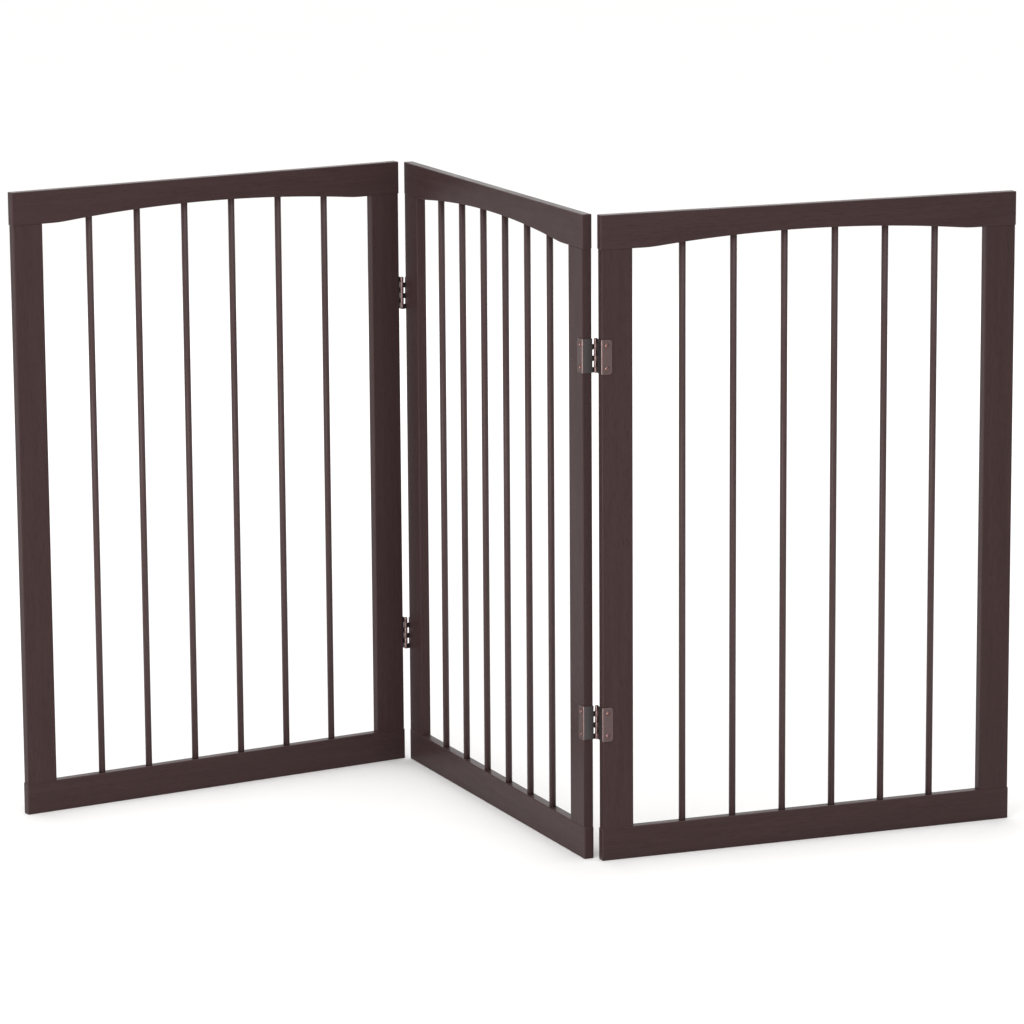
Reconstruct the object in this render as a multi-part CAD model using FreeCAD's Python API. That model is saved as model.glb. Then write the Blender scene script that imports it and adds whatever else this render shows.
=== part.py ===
import FreeCAD, Part
import math
import os

# Free-standing folding pet gate: three slatted wooden panels joined by wrap-around hinges.
# Millimetres, +Z up. The origin is the centre of the underside of the middle panel, on the
# floor. +X runs across the opening that the gate closes and +Y points to the far side.
#
# A panel is drawn in its own place: x along its width and y through its thickness, both from
# its middle, with -y the near face and z from the floor. A hinge is drawn with its pin on z.

Vec = FreeCAD.Vector
UP = Vec(0, 0, 1)
ZERO = Vec(0, 0, 0)

# Panel
PANEL_WIDTH = 525.0
PANEL_HEIGHT = 762.0
PANEL_THICKNESS = 12.0
EDGE_ROUND = 1.0

# Rails: full width, with the stiles set in a little from their ends
BOTTOM_RAIL_HEIGHT = 38.5
TOP_RAIL_HEIGHT = 40.0
ARCH_RISE = 10.7
ARCH_SPAN = 400.0
STILE_WIDTH = 38.0
STILE_INSET = 1.0

# Bars: round, all cut to one length
BAR_COUNT = 6
BAR_DIAMETER = 8.0
BAR_SEAT_DEPTH = 12.0
BAR_TOP_COVER = 16.0
GLUE_GAP = 0.05
BAR_END_GAP = 0.5

# Corner dowels: two hidden in each butt joint between a stile and a rail
DOWEL_DIAMETER = 6.0
DOWEL_LENGTH = 24.0
DOWEL_SPACING = 18.0

# Hinges: two on each fold, each with leaves that wrap round the stiles' outer corners
HINGE_HEIGHT = 40.0
HINGE_END_DISTANCE = 164.0
LEAF_THICKNESS = 1.0
LEAF_BEND_RADIUS = 0.8
LEG_WIDTH = 12.2
LEG_CORNER_RADIUS = 3.0
LEAF_GAP = 0.4
KNUCKLE_COUNT = 6
KNUCKLE_GAP = 0.3
KNUCKLE_SIDE_GAP = 1.7
PIN_DIAMETER = 2.4
PIN_RUNNING_GAP = 0.05
PIN_OFFSET = 4.2
PIN_HEAD_HEIGHT = 0.6

# Screws: two through each leaf's face leg
SCREW_SPACING = 26.7
SCREW_FROM_BEND = 5.8
SCREW_HEAD_DIAMETER = 5.6
SCREW_HEAD_HEIGHT = 1.7
SCREW_SHANK_DIAMETER = 2.8
SCREW_LENGTH = 9.0
SCREW_POINT_LENGTH = 2.5
SCREW_LEAF_GAP = 0.3
SCREW_PILOT_GAP = 0.05
DRIVE_WIDTH = 0.7
DRIVE_LENGTH = 3.2
DRIVE_DEPTH = 1.0

# Standing pose: degrees from straight in line for each fold, and the middle panel's own turn
MIDDLE_TURN = -66.0
LEFT_FOLD = 96.4
RIGHT_FOLD = 86.2

# Worked out from the sizes above
OPENING_WIDTH = PANEL_WIDTH - 2 * (STILE_INSET + STILE_WIDTH)
BAR_PITCH = OPENING_WIDTH / (BAR_COUNT + 1)
STILE_BOTTOM = BOTTOM_RAIL_HEIGHT
STILE_TOP = PANEL_HEIGHT - TOP_RAIL_HEIGHT
STILE_CENTRE = PANEL_WIDTH / 2 - STILE_INSET - STILE_WIDTH / 2
STILE_FACE = PANEL_WIDTH / 2 - STILE_INSET
ARCH_RADIUS = (ARCH_SPAN ** 2 / 4 + ARCH_RISE ** 2) / (2 * ARCH_RISE)
BAR_BOTTOM = BOTTOM_RAIL_HEIGHT - BAR_SEAT_DEPTH
BAR_TOP = PANEL_HEIGHT - BAR_TOP_COVER
BAR_RADIUS = BAR_DIAMETER / 2
PIN_RADIUS = PIN_DIAMETER / 2
BARREL_RADIUS = PIN_RADIUS + LEAF_THICKNESS
END_CLEARANCE = LEAF_THICKNESS + LEAF_GAP
PIN_X = STILE_FACE + END_CLEARANCE
PIN_Y = PANEL_THICKNESS / 2 + PIN_OFFSET
SLOT_PITCH = (HINGE_HEIGHT + KNUCKLE_GAP) / KNUCKLE_COUNT
KNUCKLE_LENGTH = SLOT_PITCH - KNUCKLE_GAP
HINGE_LEVELS = {"lower": HINGE_END_DISTANCE, "upper": PANEL_HEIGHT - HINGE_END_DISTANCE}
SIDES = {"left": -1, "right": 1}
FOLDS = {"left": LEFT_FOLD, "right": RIGHT_FOLD}


def box(x0, x1, y0, y1, z0, z1):
    return Part.makeBox(x1 - x0, y1 - y0, z1 - z0, Vec(x0, y0, z0))


def rod(radius, x, y, z0, z1):
    return Part.makeCylinder(radius, z1 - z0, Vec(x, y, z0), UP)


def moved(shape, x, y, z):
    copy = shape.copy()
    copy.translate(Vec(x, y, z))
    return copy


def turned(shape, centre, axis, degrees):
    copy = shape.copy()
    copy.rotate(centre, axis, degrees)
    return copy


def mirrored_in_x(shape):
    return shape.mirror(ZERO, Vec(1, 0, 0))


def is_straight(edge, direction):
    line = isinstance(edge.Curve, Part.Line)
    return line and abs(edge.tangentAt(edge.FirstParameter).dot(direction)) > 0.999


def bar_places():
    first = -OPENING_WIDTH / 2 + BAR_PITCH
    return [first + i * BAR_PITCH for i in range(BAR_COUNT)]


def dowel_places():
    return [
        side * STILE_CENTRE + step * DOWEL_SPACING / 2
        for side in (-1, 1)
        for step in (-1, 1)
    ]


def with_dowel_holes(piece, joint_level):
    for x in dowel_places():
        reach = DOWEL_LENGTH / 2 + BAR_END_GAP
        hole = rod(DOWEL_DIAMETER / 2 + GLUE_GAP, x, 0, joint_level - reach, joint_level + reach)
        piece = piece.cut(hole)
    return piece


def bottom_rail():
    half_width = PANEL_WIDTH / 2
    half_depth = PANEL_THICKNESS / 2
    rail = box(-half_width, half_width, -half_depth, half_depth, 0, BOTTOM_RAIL_HEIGHT)
    rail = rail.makeFillet(EDGE_ROUND, rail.Edges)
    for x in bar_places():
        seat = rod(BAR_RADIUS + GLUE_GAP, x, 0, BAR_BOTTOM, BOTTOM_RAIL_HEIGHT + 1)
        rail = rail.cut(seat)
    return with_dowel_holes(rail, STILE_BOTTOM)


def top_rail_outline():
    half_width = PANEL_WIDTH / 2
    half_arch = ARCH_SPAN / 2
    corners = [
        Vec(-half_arch, 0, STILE_TOP),
        Vec(-half_width, 0, STILE_TOP),
        Vec(-half_width, 0, PANEL_HEIGHT),
        Vec(half_width, 0, PANEL_HEIGHT),
        Vec(half_width, 0, STILE_TOP),
        Vec(half_arch, 0, STILE_TOP),
    ]
    edges = [Part.makeLine(a, b) for a, b in zip(corners, corners[1:])]
    crown = Vec(0, 0, STILE_TOP + ARCH_RISE)
    edges.append(Part.Arc(corners[-1], crown, corners[0]).toShape())
    return Part.Wire(edges)


def top_rail():
    rail = Part.Face(top_rail_outline()).extrude(Vec(0, PANEL_THICKNESS, 0))
    rail.translate(Vec(0, -PANEL_THICKNESS / 2, 0))
    across = Vec(0, 1, 0)
    arch_ends = [e for e in rail.Edges if is_straight(e, across)
                 and abs(abs(e.CenterOfMass.x) - ARCH_SPAN / 2) < 0.01]
    hashes = [e.hashCode() for e in arch_ends]
    rounded = [e for e in rail.Edges if e.hashCode() not in hashes]
    rail = rail.makeFillet(EDGE_ROUND, rounded)
    for x in bar_places():
        seat = rod(BAR_RADIUS + GLUE_GAP, x, 0, STILE_TOP - 1, BAR_TOP + BAR_END_GAP)
        rail = rail.cut(seat)
    return with_dowel_holes(rail, STILE_TOP)


def stile(side, hinged_face):
    """hinged_face is -1 or 1 for the face that the hinges' legs are screwed to, or 0."""
    x = side * STILE_CENTRE
    half_width = STILE_WIDTH / 2
    half_depth = PANEL_THICKNESS / 2
    piece = box(x - half_width, x + half_width, -half_depth, half_depth, STILE_BOTTOM, STILE_TOP)
    piece = piece.makeFillet(EDGE_ROUND, [e for e in piece.Edges if is_straight(e, UP)])
    if hinged_face:
        start = Vec(side * (STILE_FACE - SCREW_FROM_BEND), hinged_face * half_depth, 0)
        for level in screw_levels():
            depth = SCREW_LENGTH - LEAF_THICKNESS + BAR_END_GAP
            mouth = start + Vec(0, 0, level)
            radius = SCREW_SHANK_DIAMETER / 2 + SCREW_PILOT_GAP
            pilot = Part.makeCylinder(radius, depth, mouth, Vec(0, -hinged_face, 0))
            piece = piece.cut(pilot)
    return with_dowel_holes(with_dowel_holes(piece, STILE_BOTTOM), STILE_TOP)


def screw_levels():
    return [
        level + step * SCREW_SPACING / 2
        for level in HINGE_LEVELS.values()
        for step in (-1, 1)
    ]


def corner_dowels():
    half = DOWEL_LENGTH / 2
    return Part.Compound([
        rod(DOWEL_DIAMETER / 2, x, 0, level - half, level + half)
        for level in (STILE_BOTTOM, STILE_TOP)
        for x in dowel_places()
    ])


def panel_pieces(hinged_faces):
    """hinged_faces maps each end, -1 or 1, to the face that carries its hinges' legs."""
    pieces = {
        "top_rail": top_rail(),
        "bottom_rail": bottom_rail(),
        "left_stile": stile(-1, hinged_faces.get(-1, 0)),
        "right_stile": stile(1, hinged_faces.get(1, 0)),
        "corner_dowels": corner_dowels(),
    }
    for number, x in enumerate(bar_places(), start=1):
        pieces["bar_%d" % number] = rod(BAR_RADIUS, x, 0, BAR_BOTTOM, BAR_TOP)
    return pieces


# The hinge section is drawn for the leaf on the -x side. Its stile's end face is at
# x = -END_CLEARANCE, and the stile lies between y = NEAR_FACE and y = FAR_FACE.
NEAR_FACE = -PIN_OFFSET
FAR_FACE = -PIN_OFFSET - PANEL_THICKNESS
OUTER_BEND_RADIUS = LEAF_BEND_RADIUS + LEAF_THICKNESS


def bent_strip():
    end = -END_CLEARANCE
    tip = end - LEG_WIDTH
    skin = end + LEAF_THICKNESS
    outside = FAR_FACE - LEAF_THICKNESS
    top = -PIN_RADIUS
    bend = 1 - math.sqrt(0.5)
    outer_mid = Vec(skin - OUTER_BEND_RADIUS * bend, outside + OUTER_BEND_RADIUS * bend, 0)
    inner_mid = Vec(end - LEAF_BEND_RADIUS * bend, FAR_FACE + LEAF_BEND_RADIUS * bend, 0)
    p = [
        Vec(tip, outside, 0),
        Vec(skin - OUTER_BEND_RADIUS, outside, 0),
        Vec(skin, outside + OUTER_BEND_RADIUS, 0),
        Vec(skin, top, 0),
        Vec(end, top, 0),
        Vec(end, FAR_FACE + LEAF_BEND_RADIUS, 0),
        Vec(end - LEAF_BEND_RADIUS, FAR_FACE, 0),
        Vec(tip, FAR_FACE, 0),
    ]
    edges = [
        Part.makeLine(p[0], p[1]),
        Part.Arc(p[1], outer_mid, p[2]).toShape(),
        Part.makeLine(p[2], p[3]),
        Part.makeLine(p[3], p[4]),
        Part.makeLine(p[4], p[5]),
        Part.Arc(p[5], inner_mid, p[6]).toShape(),
        Part.makeLine(p[6], p[7]),
        Part.makeLine(p[7], p[0]),
    ]
    strip = Part.Face(Part.Wire(edges)).extrude(Vec(0, 0, HINGE_HEIGHT))
    strip.translate(Vec(0, 0, -HINGE_HEIGHT / 2))
    through = Vec(0, 1, 0)
    corners = [e for e in strip.Edges if is_straight(e, through)
               and abs(e.CenterOfMass.x - tip) < 0.01]
    return strip.makeFillet(LEG_CORNER_RADIUS, corners)


def slot_levels(first):
    """Bottoms of every other knuckle slot, counted from the top, starting with slot first."""
    return [
        HINGE_HEIGHT / 2 - slot * SLOT_PITCH - KNUCKLE_LENGTH
        for slot in range(first, KNUCKLE_COUNT, 2)
    ]


def hinge_leaf(first_slot, pin_gap):
    """The leaf on the -x side, whose knuckles fill every other slot from first_slot."""
    leaf = bent_strip()
    reach = BARREL_RADIUS + KNUCKLE_SIDE_GAP
    for bottom in slot_levels(1 - first_slot):
        low = bottom - KNUCKLE_GAP
        notch = box(-reach, reach, -reach, reach, low, low + KNUCKLE_LENGTH + 2 * KNUCKLE_GAP)
        leaf = leaf.cut(notch)
    for bottom in slot_levels(first_slot):
        leaf = leaf.fuse(rod(BARREL_RADIUS, 0, 0, bottom, bottom + KNUCKLE_LENGTH))
    leaf = leaf.cut(rod(PIN_RADIUS + pin_gap, 0, 0, -HINGE_HEIGHT, HINGE_HEIGHT))
    for place in screw_places():
        hole_radius = SCREW_SHANK_DIAMETER / 2 + SCREW_LEAF_GAP
        hole = Part.makeCylinder(hole_radius, 2 * LEAF_THICKNESS, place, Vec(0, 1, 0))
        leaf = leaf.cut(hole)
    return leaf.removeSplitter()


def screw_places():
    """Where each screw's head meets the outside of the leaf."""
    x = -END_CLEARANCE - SCREW_FROM_BEND
    y = FAR_FACE - LEAF_THICKNESS
    return [Vec(x, y, step * SCREW_SPACING / 2) for step in (-1, 1)]


def screw():
    """A domed cross-drive wood screw along +y, with the underside of its head at y = 0."""
    head_radius = SCREW_HEAD_DIAMETER / 2
    shank_radius = SCREW_SHANK_DIAMETER / 2
    dome_radius = (head_radius ** 2 + SCREW_HEAD_HEIGHT ** 2) / (2 * SCREW_HEAD_HEIGHT)
    ball = Part.makeSphere(dome_radius, Vec(0, dome_radius - SCREW_HEAD_HEIGHT, 0))
    along = Vec(0, 1, 0)
    slab = Part.makeCylinder(head_radius, SCREW_HEAD_HEIGHT, Vec(0, -SCREW_HEAD_HEIGHT, 0), along)
    head = ball.common(slab)
    top = -SCREW_HEAD_HEIGHT
    across = DRIVE_LENGTH / 2
    half = DRIVE_WIDTH / 2
    head = head.cut(box(-across, across, top, top + DRIVE_DEPTH, -half, half))
    head = head.cut(box(-half, half, top, top + DRIVE_DEPTH, -across, across))
    straight = SCREW_LENGTH - SCREW_POINT_LENGTH
    shank = Part.makeCylinder(shank_radius, straight, ZERO, along)
    point = Part.makeCone(shank_radius, 0, SCREW_POINT_LENGTH, Vec(0, straight, 0), along)
    return head.fuse(shank).fuse(point).removeSplitter()


def leaf_screws():
    return Part.Compound([moved(screw(), p.x, p.y, p.z) for p in screw_places()])


def hinge_pin():
    reach = HINGE_HEIGHT / 2 + PIN_HEAD_HEIGHT
    pin = rod(PIN_RADIUS, 0, 0, -reach, reach)
    ends = [e for e in pin.Edges if isinstance(e.Curve, Part.Circle)]
    return pin.makeFillet(PIN_HEAD_HEIGHT * 0.9, ends)


def folded(shape, side):
    """Swings a side panel's piece, drawn straight in line, about its hinge pins."""
    sign = SIDES[side]
    return turned(shape, Vec(sign * PIN_X, sign * PIN_Y, 0), UP, FOLDS[side])


def hinge_pieces(side, level):
    """Hinges are drawn for the right-hand fold. The left one is the same, half a turn round."""
    half_turn = 0 if side == "right" else 180
    pieces = {
        "middle_leaf": hinge_leaf(1, 0),
        "pin": hinge_pin(),
        "middle_screws": leaf_screws(),
        "side_leaf": mirrored_in_x(hinge_leaf(0, PIN_RUNNING_GAP)),
        "side_screws": mirrored_in_x(leaf_screws()),
    }
    placed = {}
    for name, shape in pieces.items():
        shape = moved(shape, PIN_X, PIN_Y, level)
        shape = turned(shape, ZERO, UP, half_turn)
        placed[name] = folded(shape, side) if name.startswith("side") else shape
    return placed


def gate():
    nodes = {}
    for name, shape in panel_pieces({-1: 1, 1: -1}).items():
        nodes["middle_panel_" + name] = shape
    for side, sign in SIDES.items():
        for name, shape in panel_pieces({-sign: -sign}).items():
            straight = moved(shape, sign * 2 * PIN_X, 0, 0)
            nodes["%s_panel_%s" % (side, name)] = folded(straight, side)
        for level_name, level in HINGE_LEVELS.items():
            for name, shape in hinge_pieces(side, level).items():
                nodes["%s_%s_hinge_%s" % (side, level_name, name)] = shape
    return {name: turned(shape, ZERO, UP, MIDDLE_TURN) for name, shape in nodes.items()}


def main():
    os.makedirs("parts", exist_ok=True)
    for name, shape in gate().items():
        shape.exportStep("parts/%s.step" % name)


if __name__ == "__main__":
    main()
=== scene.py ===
import math

import bmesh
import bpy
from bpy.props import FloatProperty, FloatVectorProperty, IntProperty, PointerProperty
from mathutils import Matrix, Vector


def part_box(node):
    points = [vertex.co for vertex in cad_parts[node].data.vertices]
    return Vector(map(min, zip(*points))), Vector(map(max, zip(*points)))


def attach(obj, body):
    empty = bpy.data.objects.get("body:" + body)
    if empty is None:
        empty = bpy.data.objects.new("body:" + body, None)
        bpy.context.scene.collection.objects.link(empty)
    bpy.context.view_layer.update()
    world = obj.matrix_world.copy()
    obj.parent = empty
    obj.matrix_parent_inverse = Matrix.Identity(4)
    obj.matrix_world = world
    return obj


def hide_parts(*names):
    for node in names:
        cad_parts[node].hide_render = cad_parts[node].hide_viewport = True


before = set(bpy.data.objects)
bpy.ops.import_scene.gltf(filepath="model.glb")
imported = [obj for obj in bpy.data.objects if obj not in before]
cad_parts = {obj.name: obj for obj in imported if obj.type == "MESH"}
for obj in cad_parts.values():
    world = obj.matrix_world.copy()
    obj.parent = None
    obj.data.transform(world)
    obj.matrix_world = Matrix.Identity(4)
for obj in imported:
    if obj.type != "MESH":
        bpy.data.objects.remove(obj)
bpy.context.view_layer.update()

bl_info = {
    "name": "Folding Pet Gate",
    "version": (1, 0, 0),
    "blender": (4, 5, 0),
    "location": "View3D > Sidebar > Pet Gate",
    "description": "Builds a three-panel folding pet gate: stained boards, bars, hinges and screws",
    "category": "Add Mesh",
}

# Lengths are in metres. A panel is drawn in its own place: x along its width and y through its
# thickness, both from its middle, with -y the near face, and z up from the floor. A hinge is
# drawn with its pin on z, for the leaf on the -x side, whose stile lies on the -y side of the pin.

MM = 0.001
PANELS = ("left_panel", "middle_panel", "right_panel")
FOLDS = {"left": -1, "right": 1}
LEVELS = ("lower", "upper")
UP = Vector((0, 0, 1))
HALF_TURN = Matrix.Rotation(math.pi, 4, "Z")
ON_END = Matrix.Rotation(-math.pi / 2, 4, "Y")
NUMBER = "NodeSocketFloat"
BAR_SIDES = 40
PIN_SIDES = 24
SCREW_SIDES = 32
BEND_STEPS = 8
CURL_STEPS = 26
CURL_END = -80  # where the curl stops, in degrees round the pin
SCREW_SEED = 3

# how strongly the lacquer mirrors, from none at 0 to plain lacquer at 0.5
SATIN_SHINE = 0.1
GLOSS_SHINE = 0.25

# how rough the plated metal is, and how far a pin's and a screw's plating is rubbed through
PLATE_ROUGHNESS = 0.44
PIN_ROUGHNESS = 0.34
SCREW_ROUGHNESS = 0.24
PIN_WEAR = 0.45
SCREW_WEAR = 0.75


# ---------------------------------------------------------------- sizes from the frame


def axis_of(node):
    """The upright axis of a round bar or a pin, as a point on the floor."""
    low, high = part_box(node)
    middle = (low + high) / 2
    return Vector((middle.x, middle.y, 0))


def bar_nodes(panel):
    return sorted(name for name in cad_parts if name.startswith(panel + "_bar_"))


def panel_place(panel):
    """Turns a panel's own coordinates into the gate's. Its first and last bars give its line."""
    bars = bar_nodes(panel)
    first, last = axis_of(bars[0]), axis_of(bars[-1])
    along = (last - first).normalized()
    turn = Matrix((along, UP.cross(along), UP)).transposed().to_4x4()
    return Matrix.Translation((first + last) / 2) @ turn


def own_box(node, place):
    """A node's lowest and highest corners in its panel's own coordinates."""
    back = place.inverted()
    points = [back @ vertex.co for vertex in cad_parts[node].data.vertices]
    corners = [[pick(p[i] for p in points) for i in range(3)] for pick in (min, max)]
    return Vector(corners[0]), Vector(corners[1])


PLACES = {panel: panel_place(panel) for panel in PANELS}
MIDDLE = PLACES["middle_panel"]
TOP_RAIL = own_box("middle_panel_top_rail", MIDDLE)
BOTTOM_RAIL = own_box("middle_panel_bottom_rail", MIDDLE)
RIGHT_STILE = own_box("middle_panel_right_stile", MIDDLE)
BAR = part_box("middle_panel_bar_1")
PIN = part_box("right_upper_hinge_pin")
PIN_AXIS = MIDDLE.inverted() @ axis_of("right_upper_hinge_pin")
LEAF = own_box("right_upper_hinge_middle_leaf", MIDDLE)
SCREWS = own_box("right_upper_hinge_middle_screws", MIDDLE)


def linear(code):
    """An sRGB hex colour as linear red, green and blue."""
    channels = [int(code[i:i + 2], 16) / 255 for i in (1, 3, 5)]
    return [c / 12.92 if c <= 0.04045 else ((c + 0.055) / 1.055) ** 2.4 for c in channels]


def length(name, description, default):
    return FloatProperty(name=name, description=description, default=default, unit="LENGTH")


def colour(name, description, code):
    return FloatVectorProperty(
        name=name, description=description, default=linear(code), subtype="COLOR",
        size=3, min=0, max=1,
    )


class GateBoardSettings(bpy.types.PropertyGroup):
    """Sizes and colours of the rails, stiles and bars"""

    panel_width: length("Panel width", "Length of a rail", TOP_RAIL[1].x - TOP_RAIL[0].x)
    thickness: length("Thickness", "Thickness of a board", TOP_RAIL[1].y - TOP_RAIL[0].y)
    panel_height: length("Panel height", "Floor to the top of a panel", TOP_RAIL[1].z)
    top_rail_height: length(
        "Top rail height", "Height of the top rail over a stile", TOP_RAIL[1].z - TOP_RAIL[0].z
    )
    bottom_rail_height: length(
        "Bottom rail height", "Height of the straight bottom rail", BOTTOM_RAIL[1].z
    )
    arch_rise: length("Arch rise", "How far the top rail's underside rises", 10.7 * MM)
    arch_span: length("Arch span", "Width of the arch between its flat ends", 400 * MM)
    arch_step: length("Arch step", "Length of one step along the arch", 2.5 * MM)
    arch_blend: length("Arch blend", "How softly the arch runs into its flat ends", 1.5 * MM)
    edge_round: length("Edge round", "Radius of the boards' eased edges", 1.0 * MM)
    stile_inset: length(
        "Stile inset", "How far a stile stands in from the rails' ends",
        TOP_RAIL[1].x - RIGHT_STILE[1].x,
    )
    stile_width: length("Stile width", "Width of a stile", RIGHT_STILE[1].x - RIGHT_STILE[0].x)
    bar_count: IntProperty(
        name="Bars", description="Bars in one panel", default=len(bar_nodes("middle_panel"))
    )
    bar_diameter: length("Bar diameter", "Diameter of a round bar", BAR[1].x - BAR[0].x)
    bar_bottom: length("Bar bottom", "Lower end of a bar, in its seat", BAR[0].z)
    bar_top: length("Bar top", "Upper end of a bar, in its seat", BAR[1].z)
    seat_gap: length("Seat gap", "Glue round and past a bar's end in its seat", 0.05 * MM)
    stain: colour("Stain", "Espresso stain on a flat face", "#3c2d2d")
    # lighter than the boards' stain: partly a painted sheen standing in for the highlights on the
    # round bars
    bar_stain_and_painted_sheen: colour("Bar stain", "The same stain on the turned bars, a little lighter", "#463636")
    stain_deep: colour("Deep stain", "Stain gathered in the pores", "#281d1d")
    # lighter than the stain: partly stain worn thin, partly a painted highlight along the eased
    # edges
    rubbed_stain_and_edge_highlight: colour("Rubbed stain", "Stain worn thin on eased edges", "#4a3b39")
    dowel_wood: colour("Dowel wood", "Bare hardwood of the hidden dowels", "#b98f61")


class GateHingeSettings(bpy.types.PropertyGroup):
    """Sizes and colours of the hinges and their screws"""

    height: length("Height", "Height of a leaf", LEAF[1].z - LEAF[0].z)
    leaf_thickness: length(
        "Leaf thickness", "Thickness of the plate", RIGHT_STILE[0].y - LEAF[0].y
    )
    end_clearance: length(
        "End clearance", "From the stile's end to the pin", PIN_AXIS.x - RIGHT_STILE[1].x
    )
    pin_offset: length(
        "Pin offset", "From the board's face to the pin", PIN_AXIS.y - RIGHT_STILE[1].y
    )
    pin_diameter: length("Pin diameter", "Diameter of a hinge pin", PIN[1].x - PIN[0].x)
    pin_length: length("Pin length", "Length of a hinge pin", PIN[1].z - PIN[0].z)
    bend_radius: length("Bend radius", "Inside of the bend round the stile", 0.8 * MM)
    leg_width: length(
        "Leg width", "Width of the screwed leg", RIGHT_STILE[1].x - LEAF[0].x
    )
    leg_corner: length("Leg corner", "Radius of the screwed leg's corners", 3.0 * MM)
    knuckle_count: IntProperty(
        name="Knuckles", description="Knuckles of both leaves together", default=6
    )
    knuckle_gap: length("Knuckle gap", "Gap between two knuckles", 0.3 * MM)
    side_gap: length("Side gap", "Gap between a knuckle and the other leaf", 1.7 * MM)
    rim_round: length("Rim round", "Radius of the plate's tumbled rims", 0.22 * MM)
    screw_head: length("Screw head", "Diameter of a screw's head", SCREWS[1].x - SCREWS[0].x)
    screw_from_bend: length(
        "Screw place", "From the stile's end to a screw",
        RIGHT_STILE[1].x - (SCREWS[0].x + SCREWS[1].x) / 2,
    )
    screw_spacing: length(
        "Screw spacing", "Between a leg's two screws",
        (SCREWS[1].z - SCREWS[0].z) - (SCREWS[1].x - SCREWS[0].x),
    )
    screw_dome: length("Screw dome", "Height of a screw's domed head", 1.7 * MM)
    screw_shank: length("Screw shank", "Diameter of a screw's shank", 2.8 * MM)
    screw_length: length("Screw length", "Length under a screw's head", 9.0 * MM)
    patina: colour("Patina", "Blackened plating where nothing rubs", "#565455")
    copper: colour("Copper", "Plating half relieved of its patina", "#6a5857")
    # also paints the highlight line along the crown of each leaf's bend
    bright_copper_and_bend_highlight: colour("Bright copper", "Copper rubbed clean on bends and rims", "#b3948e")
    screw_copper: colour("Screw copper", "Copper of the screws, redder than the plate's", "#8e6863")


class GateStageSettings(bpy.types.PropertyGroup):
    """The studio floor, its light and the camera"""

    floor_size: length("Floor size", "Side of the square floor", 60.0)
    floor_colour: colour("Floor colour", "Plain pale floor", "#f4f3f2")
    sky: FloatProperty(name="Sky", description="Strength of the even light", default=0.7)
    overhead: FloatProperty(
        name="Overhead", description="Strength of the wide light from above", default=1.4
    )
    key: FloatProperty(
        name="Key", description="Power of the soft light at the front left", default=36,
        unit="POWER",
    )
    back: FloatProperty(
        name="Back", description="Power of the wide soft light behind the gate", default=35,
        unit="POWER",
    )
    camera_place: FloatVectorProperty(
        name="Camera place", description="Where the camera stands", unit="LENGTH",
        default=(0.0189, -5.7035, 1.5307),
    )
    camera_pitch: FloatProperty(
        name="Camera pitch", description="How far the camera looks down", unit="ROTATION",
        default=0.2013,
    )
    camera_roll: FloatProperty(
        name="Camera roll", description="The camera's lean", unit="ROTATION", default=0.0068
    )
    lens: FloatProperty(
        name="Lens", description="Focal length in millimetres", unit="CAMERA", default=169.6
    )


# ---------------------------------------------------------------- meshes


def mesh_object(name, mesh):
    piece = bpy.data.objects.new(name, mesh)
    bpy.context.scene.collection.objects.link(piece)
    return piece


def drop(*objects):
    """Removes helper objects and their meshes."""
    for helper in objects:
        mesh = helper.data
        bpy.data.objects.remove(helper)
        if mesh is not None and mesh.users == 0:
            bpy.data.meshes.remove(mesh)


def settled_mesh(piece):
    """The piece's shape with its modifiers worked out, as a plain mesh."""
    bpy.context.view_layer.update()
    result = piece.evaluated_get(bpy.context.evaluated_depsgraph_get())
    return bpy.data.meshes.new_from_object(result)


def sharp_edges(shape, degrees=30):
    return [
        edge for edge in shape.edges
        if len(edge.link_faces) == 2 and edge.calc_face_angle(0) > math.radians(degrees)
    ]


def eased(mesh, radius, steps=3, chosen=None):
    """Rounds the mesh's sharp edges and marks the rounded faces as rubbed, which on the wood gives
    a lighter colour that is partly worn stain and partly a painted highlight.
    """
    shape = bmesh.new()
    shape.from_mesh(mesh)
    rubbed = shape.faces.layers.float.new("rubbed")
    edges = [edge for edge in sharp_edges(shape) if chosen is None or chosen(edge)]
    made = bmesh.ops.bevel(
        shape, geom=edges, offset=radius, offset_type="OFFSET", segments=steps,
        profile=0.5, affect="EDGES", clamp_overlap=True,
    )
    for face in made["faces"]:
        face[rubbed] = 1.0
        face.smooth = True
    shape.to_mesh(mesh)
    shape.free()
    return mesh


def turned_on_z(outline, steps):
    """A closed shape turned on z from (radius, z) points. It starts and ends on the axis."""
    shape = bmesh.new()
    rings = []
    for radius, level in outline:
        if radius == 0:
            rings.append([shape.verts.new((0, 0, level))])
            continue
        angles = [2 * math.pi * i / steps for i in range(steps)]
        rings.append([
            shape.verts.new((radius * math.cos(a), radius * math.sin(a), level)) for a in angles
        ])
    for low, high in zip(rings, rings[1:]):
        for i in range(steps):
            corners = [low[i % len(low)], low[(i + 1) % len(low)]]
            corners += [high[(i + 1) % len(high)], high[i % len(high)]]
            face = shape.faces.new(list(dict.fromkeys(corners)))
            face.smooth = True
    bmesh.ops.recalc_face_normals(shape, faces=shape.faces)
    mesh = bpy.data.meshes.new("turned")
    shape.to_mesh(mesh)
    shape.free()
    return mesh


def grain_written(mesh, place, along, shift):
    """Moves the mesh to its place, after noting each point's spot in its own board: x along
    the grain, y and z across it. The shift gives each board its own stretch of wood."""
    spots = mesh.attributes.new("grain", "FLOAT_VECTOR", "POINT")
    back = along.inverted()
    values = [
        component
        for vertex in mesh.vertices
        for component in (back @ vertex.co) + Vector(shift)
    ]
    spots.data.foreach_set("vector", values)
    mesh.transform(place)
    return mesh


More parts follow.
